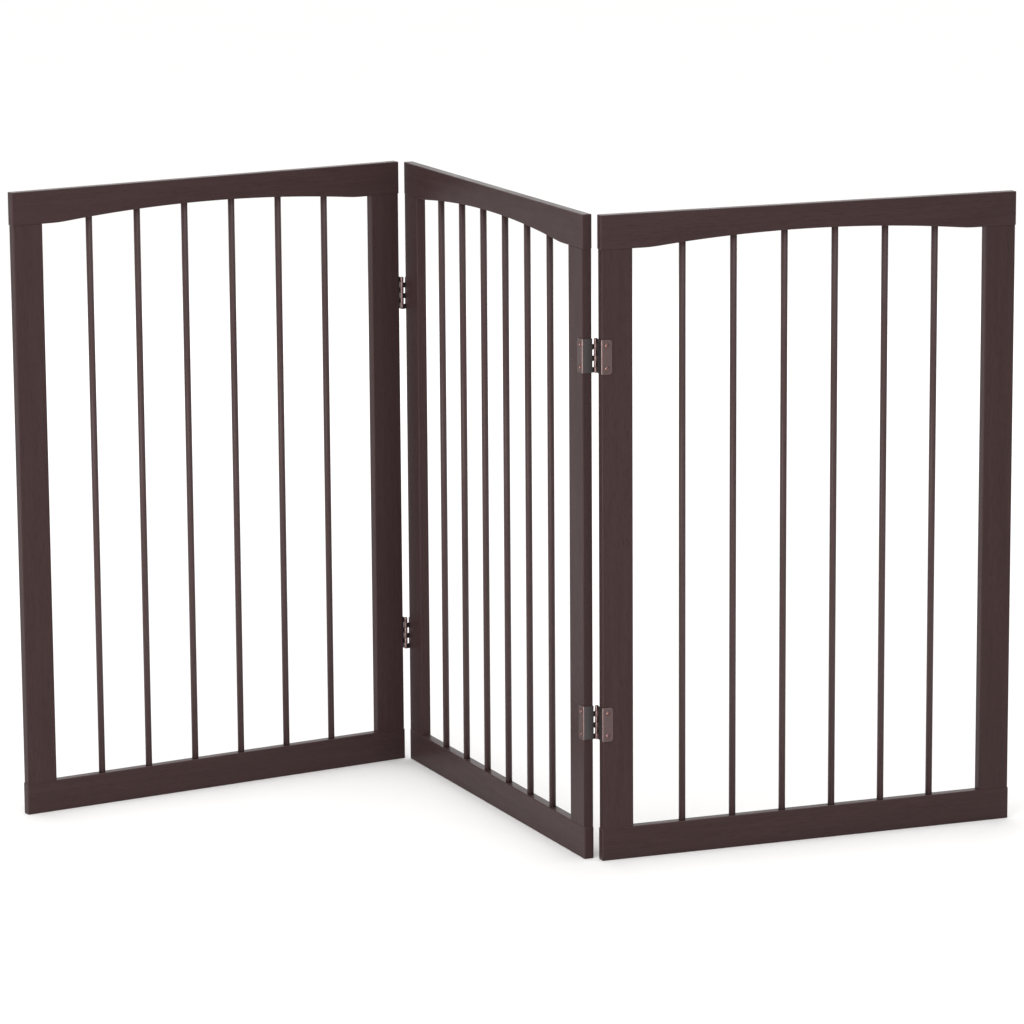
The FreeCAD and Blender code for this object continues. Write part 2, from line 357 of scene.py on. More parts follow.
def finished(name, mesh, body, slot, material, *nodes):
    """Hands a finished mesh over as a piece that rides on a body and stands for CAD nodes."""
    mesh.materials.clear()
    mesh.materials.append(material)
    piece = mesh_object(name, mesh)
    mesh.name = name
    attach(piece, body)
    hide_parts(*nodes)
    return piece


# ---------------------------------------------------------------- nodes


def add_node(tree, kind, links=None, **settings):
    """Adds a node. Links fill its inputs by name or number, from a socket or with a value."""
    node = tree.nodes.new(kind)
    for name, value in settings.items():
        setattr(node, name, value)
    for name, source in (links or {}).items():
        if isinstance(source, bpy.types.NodeSocket):
            tree.links.new(source, node.inputs[name])
        else:
            node.inputs[name].default_value = source
    return node


def maths(tree, operation, *values):
    """The result of a Math node on sockets or numbers."""
    links = dict(enumerate(values))
    return add_node(tree, "ShaderNodeMath", links, operation=operation).outputs[0]


def squared(tree, value):
    return maths(tree, "MULTIPLY", value, value)


def ranged(tree, value, low, high, bottom=0.0, top=1.0):
    """A value that runs from bottom to top while the given one runs from low to high."""
    return add_node(tree, "ShaderNodeMapRange", {
        "Value": value, "From Min": low, "From Max": high, "To Min": bottom, "To Max": top,
    }).outputs["Result"]


def noise(tree, spot, size, detail, roughness=0.5):
    """A value that drifts between 0 and 1 in soft patches of about the given size."""
    return add_node(tree, "ShaderNodeTexNoise", {
        "Vector": spot, "Scale": 1 / size, "Detail": detail, "Roughness": roughness,
    }).outputs["Fac"]


def stretched(tree, spot, sizes):
    """The spot measured in the given sizes along x, y and z, to draw noise out with."""
    scale = [1 / size for size in sizes]
    return add_node(tree, "ShaderNodeMapping", {"Vector": spot, "Scale": scale}).outputs[0]


def new_tree(name, inputs):
    """An empty geometry tree with named inputs, and its input node."""
    tree = bpy.data.node_groups.new(name, "GeometryNodeTree")
    for label, kind in inputs.items():
        tree.interface.new_socket(label, in_out="INPUT", socket_type=kind)
    tree.interface.new_socket("Geometry", in_out="OUTPUT", socket_type="NodeSocketGeometry")
    return tree, tree.nodes.new("NodeGroupInput").outputs


def close_tree(tree, geometry, material):
    """Ends a tree in real geometry with its material set."""
    real = add_node(tree, "GeometryNodeRealizeInstances", {"Geometry": geometry})
    made = add_node(
        tree, "GeometryNodeSetMaterial", {"Geometry": real.outputs[0], "Material": material}
    )
    add_node(tree, "NodeGroupOutput", {"Geometry": made.outputs[0]})
    return tree


def grown(tree, mesh, **values):
    """Runs a geometry tree over a mesh with the values of its inputs, and gives the result."""
    holder = mesh_object("holder", mesh)
    modifier = holder.modifiers.new("grow", "NODES")
    modifier.node_group = tree
    sockets = {
        item.name: item.identifier
        for item in tree.interface.items_tree if item.in_out == "INPUT"
    }
    for label, value in values.items():
        modifier[sockets[label.replace("_", " ")]] = value
    result = settled_mesh(holder)
    holder.modifiers.remove(modifier)
    drop(holder)
    return result


def arched_board_tree():
    """A board along x, centred on the origin, whose underside rises in an arc at its middle."""
    tree, given = new_tree("arched board", {
        "Geometry": "NodeSocketGeometry", "Length": NUMBER, "Depth": NUMBER,
        "Height": NUMBER, "Rise": NUMBER, "Span": NUMBER, "Step": NUMBER, "Blend": NUMBER,
        "Material": "NodeSocketMaterial",
    })
    size = add_node(tree, "ShaderNodeCombineXYZ", {
        "X": given["Length"], "Y": given["Depth"], "Z": given["Height"],
    })
    steps = maths(tree, "ROUND", maths(tree, "DIVIDE", given["Length"], given["Step"]))
    points = maths(tree, "ADD", steps, 1)
    block = add_node(tree, "GeometryNodeMeshCube", {
        "Size": size.outputs[0], "Vertices X": points, "Vertices Y": 2, "Vertices Z": 2,
    })
    place = add_node(tree, "ShaderNodeSeparateXYZ", {
        0: add_node(tree, "GeometryNodeInputPosition").outputs[0],
    })
    # radius = (half span squared + rise squared) / twice the rise
    half = maths(tree, "MULTIPLY", given["Span"], 0.5)
    squares = maths(tree, "ADD", squared(tree, half), squared(tree, given["Rise"]))
    radius = maths(tree, "DIVIDE", squares, maths(tree, "MULTIPLY", given["Rise"], 2))
    run = squared(tree, place.outputs["X"])
    curve = maths(tree, "SQRT", maths(tree, "SUBTRACT", squared(tree, radius), run))
    lift = maths(tree, "SUBTRACT", curve, maths(tree, "SUBTRACT", radius, given["Rise"]))
    lift = maths(tree, "SMOOTH_MAX", lift, 0, given["Blend"])
    under = maths(tree, "LESS_THAN", place.outputs["Z"], 0)
    arched = add_node(tree, "GeometryNodeSetPosition", {
        "Geometry": block.outputs["Mesh"], "Selection": under,
        "Offset": add_node(tree, "ShaderNodeCombineXYZ", {"Z": lift}).outputs[0],
    })
    return close_tree(tree, arched.outputs[0], given["Material"])


def bar_row_tree():
    """A row of round upright bars along x, centred on the origin."""
    tree, given = new_tree("bar row", {
        "Geometry": "NodeSocketGeometry", "Count": "NodeSocketInt", "Pitch": NUMBER,
        "Diameter": NUMBER, "Bottom": NUMBER, "Top": NUMBER, "Material": "NodeSocketMaterial",
    })
    rise = maths(tree, "SUBTRACT", given["Top"], given["Bottom"])
    middle = maths(tree, "MULTIPLY", maths(tree, "ADD", given["Top"], given["Bottom"]), 0.5)
    gaps = maths(tree, "SUBTRACT", given["Count"], 1)
    first = maths(tree, "MULTIPLY", maths(tree, "MULTIPLY", given["Pitch"], gaps), -0.5)
    row = add_node(tree, "GeometryNodeMeshLine", {
        "Count": given["Count"],
        "Start Location": add_node(
            tree, "ShaderNodeCombineXYZ", {"X": first, "Z": middle}).outputs[0],
        "Offset": add_node(tree, "ShaderNodeCombineXYZ", {"X": given["Pitch"]}).outputs[0],
    })
    bar = add_node(tree, "GeometryNodeMeshCylinder", {
        "Vertices": BAR_SIDES, "Side Segments": 1, "Depth": rise,
        "Radius": maths(tree, "MULTIPLY", given["Diameter"], 0.5),
    })
    smooth = add_node(tree, "GeometryNodeSetShadeSmooth", {
        "Geometry": bar.outputs["Mesh"], "Selection": bar.outputs["Side"],
    })
    bars = add_node(tree, "GeometryNodeInstanceOnPoints", {
        "Points": row.outputs[0], "Instance": smooth.outputs[0],
    })
    return close_tree(tree, bars.outputs[0], given["Material"])


def screw_set_tree():
    """A screw on every point, its axis along the point's facing, each turned by chance."""
    tree, given = new_tree("screw set", {
        "Geometry": "NodeSocketGeometry", "Screw": "NodeSocketObject",
        "Seed": "NodeSocketInt", "Material": "NodeSocketMaterial",
    })
    screw = add_node(tree, "GeometryNodeObjectInfo", {"Object": given["Screw"]})
    facing = add_node(
        tree, "GeometryNodeInputNamedAttribute", {"Name": "facing"}, data_type="FLOAT_VECTOR"
    )
    spin = add_node(tree, "FunctionNodeRandomValue", {
        "Min": (0, 0, 0), "Max": (0, 0, 2 * math.pi), "Seed": given["Seed"],
    }, data_type="FLOAT_VECTOR")
    upright = add_node(tree, "FunctionNodeAlignRotationToVector", {
        "Vector": facing.outputs["Attribute"],
    }, axis="Z")
    turned = add_node(tree, "FunctionNodeRotateRotation", {
        "Rotation": upright.outputs[0], "Rotate By": spin.outputs["Value"],
    }, rotation_space="LOCAL")
    screws = add_node(tree, "GeometryNodeInstanceOnPoints", {
        "Points": given["Geometry"], "Instance": screw.outputs["Geometry"],
        "Rotation": turned.outputs[0],
    })
    return close_tree(tree, screws.outputs[0], given["Material"])


# ---------------------------------------------------------------- materials


def new_material(name):
    material = bpy.data.materials.new(name)
    material.use_nodes = True
    tree = material.node_tree
    shader = tree.nodes["Principled BSDF"]
    return material, tree, shader


def mixed(tree, amount, low, high):
    node = add_node(tree, "ShaderNodeMix", {"Factor": amount}, data_type="RGBA")
    for number, value in ((6, low), (7, high)):
        if isinstance(value, bpy.types.NodeSocket):
            tree.links.new(value, node.inputs[number])
        else:
            node.inputs[number].default_value = (*value, 1)
    return node.outputs[2]


def stained_wood(name, board, stain, shine):
    """Rubberwood, planed or turned, sanded, stained espresso and sprayed with lacquer. The eye
    gets a nearly even dark brown with fine darker pores along each piece, a soft sheen that
    wavers a little, and a lighter colour on the eased edges that is partly stain worn thin and
    partly a painted highlight. The boards are satin, and the bars, which were turned smooth,
    mirror a little more."""
    material, tree, shader = new_material(name)
    grain = add_node(tree, "ShaderNodeAttribute", attribute_name="grain").outputs["Vector"]
    rubbed = add_node(tree, "ShaderNodeAttribute", attribute_name="rubbed").outputs["Fac"]

    def streaks(along, across, detail):
        """Noise drawn out along the grain, with its typical sizes along and across it."""
        place = stretched(tree, grain, (along, across, across))
        return noise(tree, place, 1.0, detail, roughness=0.55)

    pores = ranged(tree, streaks(along=14 * MM, across=0.45 * MM, detail=2.0), 0.52, 0.72)
    figure = ranged(tree, streaks(along=160 * MM, across=7 * MM, detail=3.0), 0.30, 0.70)
    mottle = streaks(along=40 * MM, across=18 * MM, detail=2.0)
    pale_stain = [c * 1.16 for c in stain]
    face = mixed(tree, figure, stain, pale_stain)
    pore_depth = maths(tree, "MULTIPLY", pores, 0.55)
    face = mixed(tree, pore_depth, face, board.stain_deep)
    # the eased edges take the lighter colour in patches: partly stain worn thin, partly a painted
    # highlight
    worn = maths(tree, "MULTIPLY", rubbed, mottle)
    tree.links.new(mixed(tree, worn, face, board.rubbed_stain_and_edge_highlight), shader.inputs["Base Color"])
    sheen = ranged(tree, mottle, 0.3, 0.7, bottom=0.3, top=0.38)
    tree.links.new(sheen, shader.inputs["Roughness"])
    # lacquer bridges the pores, so they stay shallow
    film = 0.05 * MM
    bump = add_node(tree, "ShaderNodeBump", {
        "Height": pores, "Strength": 0.12, "Distance": film,
    }, invert=True)
    orange_peel = noise(tree, grain, 1.6 * MM, 1.0)
    skin = add_node(tree, "ShaderNodeBump", {
        "Height": orange_peel, "Strength": 0.08, "Distance": film,
        "Normal": bump.outputs[0],
    })
    tree.links.new(skin.outputs[0], shader.inputs["Normal"])
    shader.inputs["IOR"].default_value = 1.4
    shader.inputs["Specular IOR Level"].default_value = shine
    return material


def bare_dowel_wood(board):
    """Fluted-dowel beech, turned and left bare: pale, matt, with short brown flecks. It only
    shows where a joint is pulled apart."""
    material, tree, shader = new_material("bare_beech_dowel")
    spot = add_node(tree, "ShaderNodeTexCoord").outputs["Object"]
    fleck_size = (0.6 * MM, 0.6 * MM, 9 * MM)
    flecks = noise(tree, stretched(tree, spot, fleck_size), 1.0, 3.0)
    fleck_brown = [c * 0.6 for c in board.dowel_wood]
    tree.links.new(mixed(tree, flecks, board.dowel_wood, fleck_brown),
                   shader.inputs["Base Color"])
    shader.inputs["Roughness"].default_value = 0.7
    return material


def antique_copper(name, hinge, clean, roughness):
    """Pressed steel plated in copper, blackened in a bath and relieved by tumbling. The eye
    gets a grey-brown satin metal, clouded a little, with more copper showing where it is worn
    and the clean colour on the bends and rims that the tumbling reached. On the leaves, the
    clean line at the crown of each bend is also a painted highlight, and the near-black plate
    over the stile's end is a painted shade. Pins and screws are smoother, and the screws redder."""
    material, tree, shader = new_material(name)
    spot = add_node(tree, "ShaderNodeTexCoord").outputs["Object"]
    # on the leaves, worn also carries the painted bend highlight and the painted shade on the end
    # plate
    worn = add_node(tree, "ShaderNodeAttribute", attribute_name="worn").outputs["Fac"]
    clouds = noise(tree, spot, 4 * MM, 4.0, roughness=0.6)
    drift = ranged(tree, clouds, 0.3, 0.7, bottom=-0.1, top=0.1)
    rubbed = add_node(tree, "ShaderNodeAttribute", attribute_name="rubbed").outputs["Fac"]
    rim_wear = 0.35
    shown = maths(tree, "ADD", maths(tree, "MULTIPLY_ADD", rubbed, rim_wear, worn), drift)
    plate = mixed(tree, ranged(tree, shown, 0.0, 0.5), hinge.patina, hinge.copper)
    tree.links.new(mixed(tree, ranged(tree, shown, 0.5, 1.0), plate, clean),
                   shader.inputs["Base Color"])
    scratches = noise(tree, spot, 0.6 * MM, 2.0)
    tree.links.new(
        ranged(tree, scratches, 0.0, 1.0, bottom=roughness - 0.06, top=roughness + 0.1),
        shader.inputs["Roughness"],
    )
    dents = add_node(tree, "ShaderNodeBump", {
        "Height": clouds, "Strength": 0.06, "Distance": 0.04 * MM,
    })
    tree.links.new(dents.outputs[0], shader.inputs["Normal"])
    shader.inputs["Metallic"].default_value = 1.0
    return material


def studio_floor(stage):
    """Matt painted studio boards, pale and even, with a faint roller texture."""
    material, tree, shader = new_material("matt_white_studio_paint")
    spot = add_node(tree, "ShaderNodeTexCoord").outputs["Object"]
    roller = noise(tree, spot, 300 * MM, 2.0)
    thinner_coat = [c * 0.985 for c in stage.floor_colour]
    tree.links.new(mixed(tree, roller, stage.floor_colour, thinner_coat),
                   shader.inputs["Base Color"])
    shader.inputs["Roughness"].default_value = 0.9
    return material


def kept(name, maker, *values):
    """The material of that name, made the first time it is asked for."""
    return bpy.data.materials.get(name) or maker(*values)


def board_wood(context):
    name, board = "espresso_stained_rubberwood_satin_lacquer", context.scene.gate_boards
    return kept(name, stained_wood, name, board, board.stain, SATIN_SHINE)


def bar_wood(context):
    name, board = "espresso_stained_turned_rubberwood_gloss_lacquer", context.scene.gate_boards
    # the bars' lighter stain is partly a painted sheen
    return kept(name, stained_wood, name, board, board.bar_stain_and_painted_sheen, GLOSS_SHINE)


# ---------------------------------------------------------------- boards


def rail_mesh(context, height, rise, material):
    board = context.scene.gate_boards
    mesh = grown(
        arched_board_tree(), bpy.data.meshes.new("start"), Length=board.panel_width,
        Depth=board.thickness, Height=height, Rise=rise, Span=board.arch_span,
        Step=board.arch_step if rise else board.panel_width,
        Blend=board.arch_blend if rise else 0.0, Material=material,
    )
    return eased(mesh, board.edge_round)


def bar_row_mesh(context, extra, material):
    """One panel's bars, or with something extra all round, the shape of their seats."""
    board = context.scene.gate_boards
    opening = board.panel_width - 2 * (board.stile_inset + board.stile_width)
    return grown(
        bar_row_tree(), bpy.data.meshes.new("start"), Count=board.bar_count,
        Pitch=opening / (board.bar_count + 1), Diameter=board.bar_diameter + 2 * extra,
        Bottom=board.bar_bottom - extra, Top=board.bar_top + extra, Material=material,
    )


def bored(context, mesh, material):
    """Cuts the bars' blind seats out of a rail's mesh."""
    seats = mesh_object("seats", bar_row_mesh(context, context.scene.gate_boards.seat_gap,
                                              material))
    rail = mesh_object("rail", mesh)
    cut = rail.modifiers.new("seats", "BOOLEAN")
    cut.operation = "DIFFERENCE"
    cut.solver = "EXACT"
    cut.object = seats
    result = settled_mesh(rail)
    rail.modifiers.remove(cut)
    drop(rail, seats)
    return result


class GATE_OT_rails(bpy.types.Operator):
    """Make the arched top rails and the straight bottom rails, with the bars' seats"""

    bl_idname = "gate.rails"
    bl_label = "Rails"

    def execute(self, context):
        board = context.scene.gate_boards
        material = board_wood(context)
        rails = (
            ("top_rail", board.top_rail_height, board.arch_rise, board.panel_height),
            ("bottom_rail", board.bottom_rail_height, 0.0, board.bottom_rail_height),
        )
        for number, panel in enumerate(PANELS):
            for kind, height, rise, top in rails:
                mesh = rail_mesh(context, height, rise, material)
                mesh.transform(Matrix.Translation((0, 0, top - height / 2)))
                mesh = bored(context, mesh, material)
                shift = (number * 0.7, number * 0.13, top)
                mesh = grain_written(mesh, PLACES[panel], Matrix(), shift)
                name = panel + "_" + kind
                finished(name + "_board", mesh, panel, "stained_wood", material, name)
        return {"FINISHED"}


class GATE_OT_stiles(bpy.types.Operator):
    """Make the stiles that stand between the rails"""

    bl_idname = "gate.stiles"
    bl_label = "Stiles"

    def execute(self, context):
        board = context.scene.gate_boards
        material = board_wood(context)
        low, high = board.bottom_rail_height, board.panel_height - board.top_rail_height
        centre = board.panel_width / 2 - board.stile_inset - board.stile_width / 2
        for number, panel in enumerate(PANELS):
            for side, sign in FOLDS.items():
                shape = bmesh.new()
                size = Matrix.Diagonal((board.stile_width, board.thickness, high - low, 1))
                middle = Matrix.Translation((sign * centre, 0, (low + high) / 2))
                bmesh.ops.create_cube(shape, size=1, matrix=middle @ size)
                mesh = bpy.data.meshes.new("stile")
                shape.to_mesh(mesh)
                shape.free()
                mesh = eased(mesh, board.edge_round, chosen=is_upright)
                shift = (number * 0.9 + sign * 0.31, number * 0.17, sign * 0.23)
                mesh = grain_written(mesh, PLACES[panel], ON_END, shift)
                name = "%s_%s_stile" % (panel, side)
                finished(name + "_board", mesh, panel, "stained_wood", material, name)
        return {"FINISHED"}


def is_upright(edge):
    """Whether an edge runs up the stile."""
    first, last = edge.verts
    run = (last.co - first.co).normalized()
    return abs(run.z) > 0.999


class GATE_OT_bars(bpy.types.Operator):
    """Make each panel's row of round bars"""

    bl_idname = "gate.bars"
    bl_label = "Bars"

    def execute(self, context):
        material = bar_wood(context)
        for number, panel in enumerate(PANELS):
            mesh = bar_row_mesh(context, 0.0, material)
            mesh = grain_written(mesh, PLACES[panel], ON_END, (number * 1.1, 0.41, 0.07))
            finished(
                panel + "_bars", mesh, panel, "stained_wood", material, *bar_nodes(panel)
            )
        return {"FINISHED"}


class GATE_OT_dowels(bpy.types.Operator):
    """Give the hidden corner dowels their bare wood"""

    bl_idname = "gate.dowels"
    bl_label = "Corner dowels"

    def execute(self, context):
        material = kept("bare_beech_dowel", bare_dowel_wood, context.scene.gate_boards)
        for panel in PANELS:
            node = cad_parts[panel + "_corner_dowels"]
            for slot in node.material_slots:
                slot.material = material
        return {"FINISHED"}


# ---------------------------------------------------------------- hinges


def hinge_place(side, level, leaf):
    """From a hinge's own coordinates to the gate's, for its middle or side leaf. The left
    fold's hinges are the right fold's, half a turn round."""
    low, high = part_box("%s_%s_hinge_pin" % (side, level))
    sign = 1 if leaf == "middle" else -1
    pin = Vector((sign * PIN_AXIS.x, PIN_AXIS.y, (low.z + high.z) / 2))
    turn = Matrix() if side == "right" else HALF_TURN
    panel = "middle_panel" if leaf == "middle" else side + "_panel"
    return PLACES[panel] @ turn @ Matrix.Translation(pin)


def arc(centre, radius, start, end, steps):
    """Points on an arc from one angle to another, in degrees, with both ends."""
    angles = [math.radians(start + (end - start) * i / steps) for i in range(steps + 1)]
    return [centre + radius * Vector((math.cos(a), math.sin(a))) for a in angles]


def leaf_line(hinge, board):
    """The middle of the plate, seen from above, from the leg's tip to the end of its curl.
    Gives the points, and the numbers of the first and last of the bend, and of the first
    one past the notches."""
    half = hinge.leaf_thickness / 2
    end = -hinge.end_clearance
    far = -hinge.pin_offset - board.thickness
    bend = arc(
        Vector((end - hinge.bend_radius, far + hinge.bend_radius)),
        hinge.bend_radius + half, -90, 0, BEND_STEPS,
    )
    points = [Vector((end - hinge.leg_width, far - half))] + bend
    lean_start = Vector((end + half, -hinge.pin_offset))
    curl_radius = hinge.pin_diameter / 2 + half
    # the plate leans out a little to meet its curl without a kink
    towards = math.degrees(math.atan2(lean_start.y, lean_start.x)) % 360
    opening = math.degrees(math.acos(curl_radius / lean_start.length))
    curl = arc(Vector((0, 0)), curl_radius, towards - opening, CURL_END, CURL_STEPS)
    notch = -(curl_radius + half + hinge.side_gap)
    share = (notch - lean_start.y) / (curl[0].y - lean_start.y)
    points += [lean_start, lean_start.lerp(curl[0], share)]
    return points + curl, (1, len(bend)), len(points)


def leaf_wear_and_painted_light(step, bend, curl_start):
    """How much copper shows at a step of the leaf's line: partly worn through on the leg; nearly
    clean at the crown of the bend, which is partly rubbed copper and partly a painted highlight
    line; hardly at all on the plate over the stile's end, which is a painted shade; and well
    worn through on the curl."""
    # crown lays a painted highlight along the bend, kept to a thin line by narrowness; plate is a
    # painted shade on the end plate
    leg, crown, plate, curl = 0.42, 0.9, 0.08, 0.62
    narrowness = 8
    if step > bend[1]:
        return curl if step > curl_start else plate
    share = max(0, (step - bend[0]) / (bend[1] - bend[0]))
    base = leg + (plate - leg) * share
    return base + (crown - base) * math.sin(math.pi * share) ** narrowness


def worn_evenly(mesh, amount):
    """Marks a whole mesh as rubbed through by the same amount."""
    worn = mesh.attributes.new("worn", "FLOAT", "POINT")
    worn.data.foreach_set("value", [amount] * len(mesh.vertices))
    return mesh


def slot_levels(hinge, first):
    """Bottom and top of every other knuckle, counted from the top, starting with first."""
    pitch = (hinge.height + hinge.knuckle_gap) / hinge.knuckle_count
    return [
        (hinge.height / 2 - (slot + 1) * pitch + hinge.knuckle_gap,
         hinge.height / 2 - slot * pitch)
        for slot in range(first, hinge.knuckle_count, 2)
    ]


def leaf_mesh(hinge, board, first_slot):
    """A pressed and rolled leaf: a sheet along its line, thickened, with tumbled rims."""
    line, bend, curl_start = leaf_line(hinge, board)
    own = slot_levels(hinge, first_slot)
    levels = sorted({-hinge.height / 2, hinge.height / 2, *(z for pair in own for z in pair)})
    shape = bmesh.new()
    worn = shape.verts.layers.float.new("worn")
    grid = {}

    def corner(step, level):
        if (step, level) not in grid:
            point = line[step]
            made = shape.verts.new((point.x, point.y, levels[level]))
            # the copper shown here includes the painted bend highlight and the painted shade on the
            # end plate
            made[worn] = leaf_wear_and_painted_light(step, bend, curl_start)
            grid[step, level] = made
        return grid[step, level]

    for level in range(len(levels) - 1):
        middle = (levels[level] + levels[level + 1]) / 2
        curled = any(low < middle < high for low, high in own)
        for step in range(len(line) - 1 if curled else curl_start - 1):
            face = shape.faces.new([
                corner(step, level), corner(step + 1, level),
                corner(step + 1, level + 1), corner(step, level + 1),
            ])
            face.smooth = bend[0] <= step < bend[1] or step >= curl_start
    tips = [grid[0, 0], grid[0, len(levels) - 1]]
    bmesh.ops.bevel(
        shape, geom=tips, offset=hinge.leg_corner, segments=6, profile=0.5, affect="VERTICES"
    )
    mesh = bpy.data.meshes.new("leaf")
    shape.to_mesh(mesh)
    shape.free()
    sheet = mesh_object("sheet", mesh)
    thick = sheet.modifiers.new("thickness", "SOLIDIFY")
    thick.thickness = hinge.leaf_thickness
    thick.offset = 0
    thick.use_even_offset = True
    solid = settled_mesh(sheet)
    sheet.modifiers.remove(thick)
    drop(sheet)
    return eased(solid, hinge.rim_round, steps=2)


def mirrored_mesh(mesh):
    """The mesh mirrored in x, with its faces turned outwards again."""
    mesh.transform(Matrix.Diagonal((-1, 1, 1, 1)))
    shape = bmesh.new()
    shape.from_mesh(mesh)
    bmesh.ops.recalc_face_normals(shape, faces=shape.faces)
    shape.to_mesh(mesh)
    shape.free()
    return mesh


def copper_plate(context):
    name = "antique_copper_plated_steel"
    hinge = context.scene.gate_hinges
    return kept(name, antique_copper, name, hinge, hinge.bright_copper_and_bend_highlight, PLATE_ROUGHNESS)


class GATE_OT_hinge_leaves(bpy.types.Operator):
    """Make the hinges' leaves, which wrap round the stiles and curl round the pins"""

    bl_idname = "gate.hinge_leaves"
    bl_label = "Hinge leaves"

    def execute(self, context):
        hinge, board = context.scene.gate_hinges, context.scene.gate_boards
        material = copper_plate(context)
        for side in FOLDS:
            for level in LEVELS:
                for leaf, first_slot in (("middle", 1), ("side", 0)):
                    mesh = leaf_mesh(hinge, board, first_slot)
                    if leaf == "side":
                        mesh = mirrored_mesh(mesh)
                    mesh.transform(hinge_place(side, level, leaf))
                    name = "%s_%s_hinge_%s_leaf" % (side, level, leaf)
                    body = "middle_panel" if leaf == "middle" else side + "_panel"
                    finished(name + "_plate", mesh, body, "hinge_metal", material, name)
        return {"FINISHED"}


class GATE_OT_hinge_pins(bpy.types.Operator):
    """Make the hinges' pins, with domed ends"""

    bl_idname = "gate.hinge_pins"
    bl_label = "Hinge pins"

    def execute(self, context):
        hinge = context.scene.gate_hinges
        name = "antique_copper_drawn_pin"
        bright = hinge.bright_copper_and_bend_highlight
        material = kept(name, antique_copper, name, hinge, bright, PIN_ROUGHNESS)
        radius, reach = hinge.pin_diameter / 2, hinge.pin_length / 2
        crown, steps = 0.6 * MM, 5
        dome = [
            (radius * math.cos(a), reach - crown + crown * math.sin(a))
            for a in (math.pi / 2 * i / steps for i in range(steps + 1))
        ]
        dome[-1] = (0, reach)
        outline = [(r, -z) for r, z in reversed(dome)] + dome
        for side in FOLDS:
            for level in LEVELS:
                mesh = worn_evenly(turned_on_z(outline, PIN_SIDES), PIN_WEAR)
                mesh.transform(hinge_place(side, level, "middle"))
                node = "%s_%s_hinge_pin" % (side, level)
                finished(node + "_rod", mesh, "middle_panel", "pin_metal", material, node)
        return {"FINISHED"}


def screw_mesh(hinge):
    """A domed cross-drive wood screw, its head on z = 0 and its point towards -z."""
    head, dome, shank = hinge.screw_head / 2, hinge.screw_dome, hinge.screw_shank / 2
    ball = (head ** 2 + dome ** 2) / (2 * dome)
    widest = math.asin(head / ball)
    steps = 7
    crown = [
        (ball * math.sin(a), dome - ball + ball * math.cos(a))
        for a in (widest * (steps - i) / steps for i in range(steps + 1))
    ]
    crown[-1] = (0, dome)
    point, rim = 2.5 * MM, 0.12 * MM
    seat = head * 0.96
    outline = [(0, -hinge.screw_length), (shank, point - hinge.screw_length), (shank, 0),
               (seat, 0), (head, rim)] + crown[1:]
    # each arm of the cross is a tapered square, drawn long and narrow
    root, mouth, depth = 0.35 * MM, 0.95 * MM, 1.6 * MM
    arm = Matrix.Diagonal((2.5, 0.62, 1, 1))
    body = mesh_object("screw", turned_on_z(outline, SCREW_SIDES))
    cutters = []
    for turn in (0, math.pi / 2):
        shape = bmesh.new()
        bmesh.ops.create_cone(
            shape, cap_ends=True, segments=4, radius1=root, radius2=mouth, depth=depth,
            matrix=Matrix.Rotation(math.pi / 4, 4, "Z"),
        )
        shape.transform(
            Matrix.Translation((0, 0, dome)) @ Matrix.Rotation(turn, 4, "Z") @ arm
        )
        mesh = bpy.data.meshes.new("cutter")
        shape.to_mesh(mesh)
        shape.free()
        cutter = mesh_object("cutter", mesh)
        cut = body.modifiers.new("cross", "BOOLEAN")
        cut.operation = "DIFFERENCE"
        cut.solver = "EXACT"
        cut.object = cutter
        cutters.append(cutter)
    result = settled_mesh(body)
    body.modifiers.clear()
    drop(body, *cutters)
    return result


class GATE_OT_screws(bpy.types.Operator):
    """Make the domed screws that hold the hinges' legs, one set for each panel"""

    bl_idname = "gate.screws"
    bl_label = "Hinge screws"

    def execute(self, context):
        hinge, board = context.scene.gate_hinges, context.scene.gate_boards
        name = "antique_copper_screw"
        red = hinge.screw_copper
        material = kept(name, antique_copper, name, hinge, red, SCREW_ROUGHNESS)
        pattern = mesh_object("screw pattern", worn_evenly(screw_mesh(hinge), SCREW_WEAR))
        tree = screw_set_tree()
        outside = -hinge.pin_offset - board.thickness - hinge.leaf_thickness
        inwards = -hinge.end_clearance - hinge.screw_from_bend
        for number, panel in enumerate(PANELS):
            spots, facings, nodes = [], [], []
            leaf = "middle" if panel == "middle_panel" else "side"
            sign = 1 if leaf == "middle" else -1
            for side in FOLDS:
                if leaf == "side" and not panel.startswith(side):
                    continue
                for level in LEVELS:
                    place = hinge_place(side, level, leaf)
                    nodes.append("%s_%s_hinge_%s_screws" % (side, level, leaf))
                    for step in (-0.5, 0.5):
                        spot = Vector((sign * inwards, outside, step * hinge.screw_spacing))
                        spots.append(place @ spot)
                        facings += list(place.to_3x3() @ Vector((0, -1, 0)))
            points = bpy.data.meshes.new("points")
            points.from_pydata(spots, [], [])
            points.attributes.new("facing", "FLOAT_VECTOR", "POINT").data.foreach_set(
                "vector", facings
            )
            mesh = grown(tree, points, Screw=pattern, Seed=number + SCREW_SEED, Material=material)
            finished(panel + "_hinge_screws", mesh, panel, "screw_metal", material, *nodes)
        drop(pattern)
        return {"FINISHED"}


# ---------------------------------------------------------------- stage


# where each lamp stands and the point it faces
KEY_AIM = ((-1.25, -2.35, 0.85), (0, 0, 0.4))
BACK_AIM = ((0, 4, 1.7), (0, 0, 0.76))
OVERHEAD_AIM = ((0, 0, 5), (0, 0.3, 0))

KEY_SIZE = 1.6
BACK_WIDTH = 5.0
BACK_HEIGHT = 2.2
OVERHEAD_SPREAD = math.radians(60)


